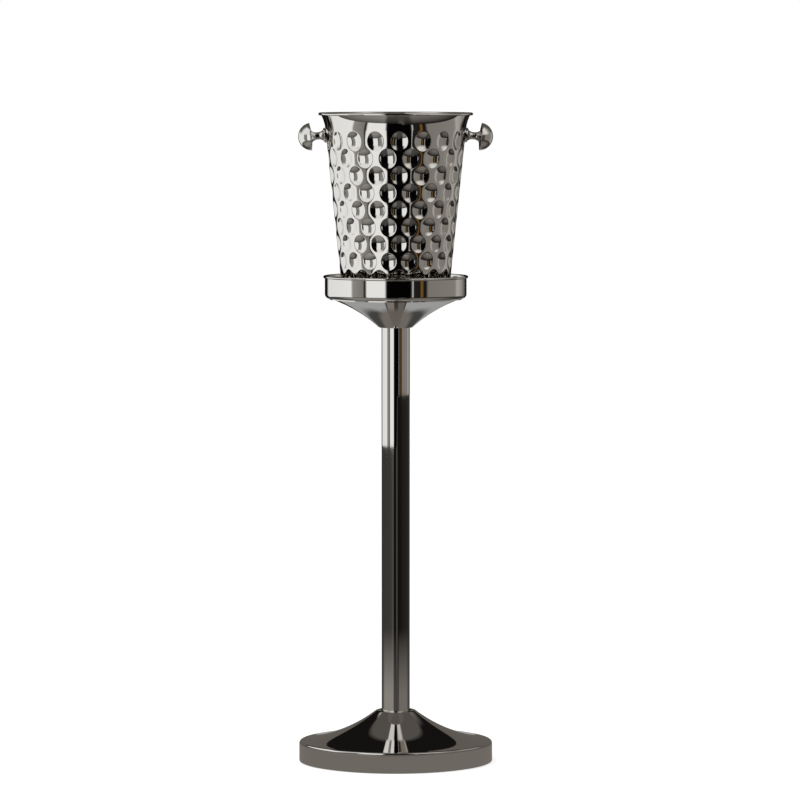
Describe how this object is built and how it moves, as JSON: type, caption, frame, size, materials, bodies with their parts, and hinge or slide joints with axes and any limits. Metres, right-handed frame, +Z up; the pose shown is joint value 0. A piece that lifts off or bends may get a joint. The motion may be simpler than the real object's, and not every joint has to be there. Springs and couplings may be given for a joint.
{
  "type": "ice bucket",
  "caption": "Tapered dimpled steel ice bucket with side knobs, lifting out of a shallow tray on a column with a round weighted foot.",
  "frame": {"origin": "centre of the round foot, on the floor", "axes": "+Z up along the column; +X towards the right knob; -Y towards the viewer"},
  "size_m": [0.2612, 0.26, 0.8731],
  "materials": {
    "polished_steel": "mirror polished stainless steel",
    "plain_steel": "plain machined steel",
    "cast_iron": "black painted casting",
    "rubber": "matt black rubber"
  },
  "bodies": {
    "stand": {"floor_pad": "rubber", "base_shell": "polished_steel", "base_weight": "cast_iron", "base_bolt": "plain_steel", "base_flat_washer": "plain_steel", "base_spring_washer": "plain_steel", "bottom_plug": "plain_steel", "column_tube": "polished_steel", "top_plug": "plain_steel", "tray_bell": "polished_steel", "tray_dish": "polished_steel", "tray_flat_washer": "plain_steel", "tray_spring_washer": "plain_steel", "tray_bolt": "plain_steel"},
    "bucket": {"bucket_shell": "polished_steel", "left_knob": "polished_steel", "right_knob": "polished_steel", "left_knob_screw": "plain_steel", "right_knob_screw": "plain_steel", "left_knob_washer": "plain_steel", "right_knob_washer": "plain_steel", "left_knob_seal": "rubber", "right_knob_seal": "rubber"}
  },
  "joints": [
    {"name": "bucket_lift", "type": "slide", "parent": "stand", "child": "bucket", "axis": [0, 0, 1], "range_m": [0, 0.15]}
  ]
}
